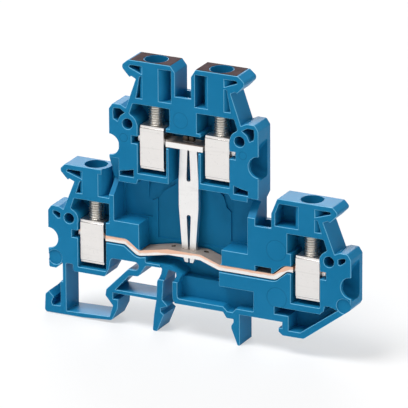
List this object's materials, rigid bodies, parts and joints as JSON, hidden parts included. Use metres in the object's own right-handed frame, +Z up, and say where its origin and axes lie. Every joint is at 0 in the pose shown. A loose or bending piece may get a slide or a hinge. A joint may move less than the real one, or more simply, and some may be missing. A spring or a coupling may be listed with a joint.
{
  "type": "miniature feed-through terminal block",
  "caption": "Slim two-level screw terminal block: blue moulded housing open at one side, cage clamps, bent current bars joined by an upright bonder, snap foot for a 35 mm rail.",
  "frame": {"origin": "middle of the 35 mm seat, in the seat plane and in the middle of the block's thickness", "axes": "+X along the block towards the lone right tower, +Z up away from the seat, open front at -Y"},
  "size_m": [0.0637, 0.0052, 0.0528],
  "materials": {
    "housing": "satin moulded",
    "bar": "tinned copper, sheared edge",
    "bonder": "bright nickel",
    "cage": "bright nickel",
    "screw": "zinc plated",
    "print": "dark print"
  },
  "bodies": {
    "housing": {"housing": "housing", "lower_bar": "bar", "upper_bar": "bar", "level_bonder": "bonder", "upper_left_print": "print", "upper_right_print": "print"},
    "upper_left_screw": {"upper_left_screw": "screw"},
    "upper_left_cage": {"upper_left_cage": "cage"},
    "upper_right_screw": {"upper_right_screw": "screw"},
    "upper_right_cage": {"upper_right_cage": "cage"},
    "lower_left_screw": {"lower_left_screw": "screw"},
    "lower_left_cage": {"lower_left_cage": "cage"},
    "lower_right_screw": {"lower_right_screw": "screw"},
    "lower_right_cage": {"lower_right_cage": "cage"}
  },
  "joints": [
    {"name": "upper_left_screw_turn", "type": "hinge", "parent": "housing", "child": "upper_left_screw", "pos_m": [-0.0094, 0, 0.0356], "axis": [0, 0, -1], "range_deg": [0, 2521]},
    {"name": "upper_left_cage_lift", "type": "slide", "parent": "housing", "child": "upper_left_cage", "axis": [0, 0, 1], "range_m": [0, 0.0035]},
    {"name": "upper_right_screw_turn", "type": "hinge", "parent": "housing", "child": "upper_right_screw", "pos_m": [0.0041, 0, 0.0356], "axis": [0, 0, -1], "range_deg": [0, 2521]},
    {"name": "upper_right_cage_lift", "type": "slide", "parent": "housing", "child": "upper_right_cage", "axis": [0, 0, 1], "range_m": [0, 0.0035]},
    {"name": "lower_left_screw_turn", "type": "hinge", "parent": "housing", "child": "lower_left_screw", "pos_m": [-0.02215, 0, 0.015], "axis": [0, 0, -1], "range_deg": [0, 2521]},
    {"name": "lower_left_cage_lift", "type": "slide", "parent": "housing", "child": "lower_left_cage", "axis": [0, 0, 1], "range_m": [0, 0.0035]},
    {"name": "lower_right_screw_turn", "type": "hinge", "parent": "housing", "child": "lower_right_screw", "pos_m": [0.02255, 0, 0.015], "axis": [0, 0, -1], "range_deg": [0, 2521]},
    {"name": "lower_right_cage_lift", "type": "slide", "parent": "housing", "child": "lower_right_cage", "axis": [0, 0, 1], "range_m": [0, 0.0035]}
  ],
  "couplings": [
    {"joint": "upper_left_screw_turn", "follows": "upper_left_cage_lift", "rad_per_m": 12566},
    {"joint": "upper_right_screw_turn", "follows": "upper_right_cage_lift", "rad_per_m": 12566},
    {"joint": "lower_left_screw_turn", "follows": "lower_left_cage_lift", "rad_per_m": 12566},
    {"joint": "lower_right_screw_turn", "follows": "lower_right_cage_lift", "rad_per_m": 12566}
  ]
}
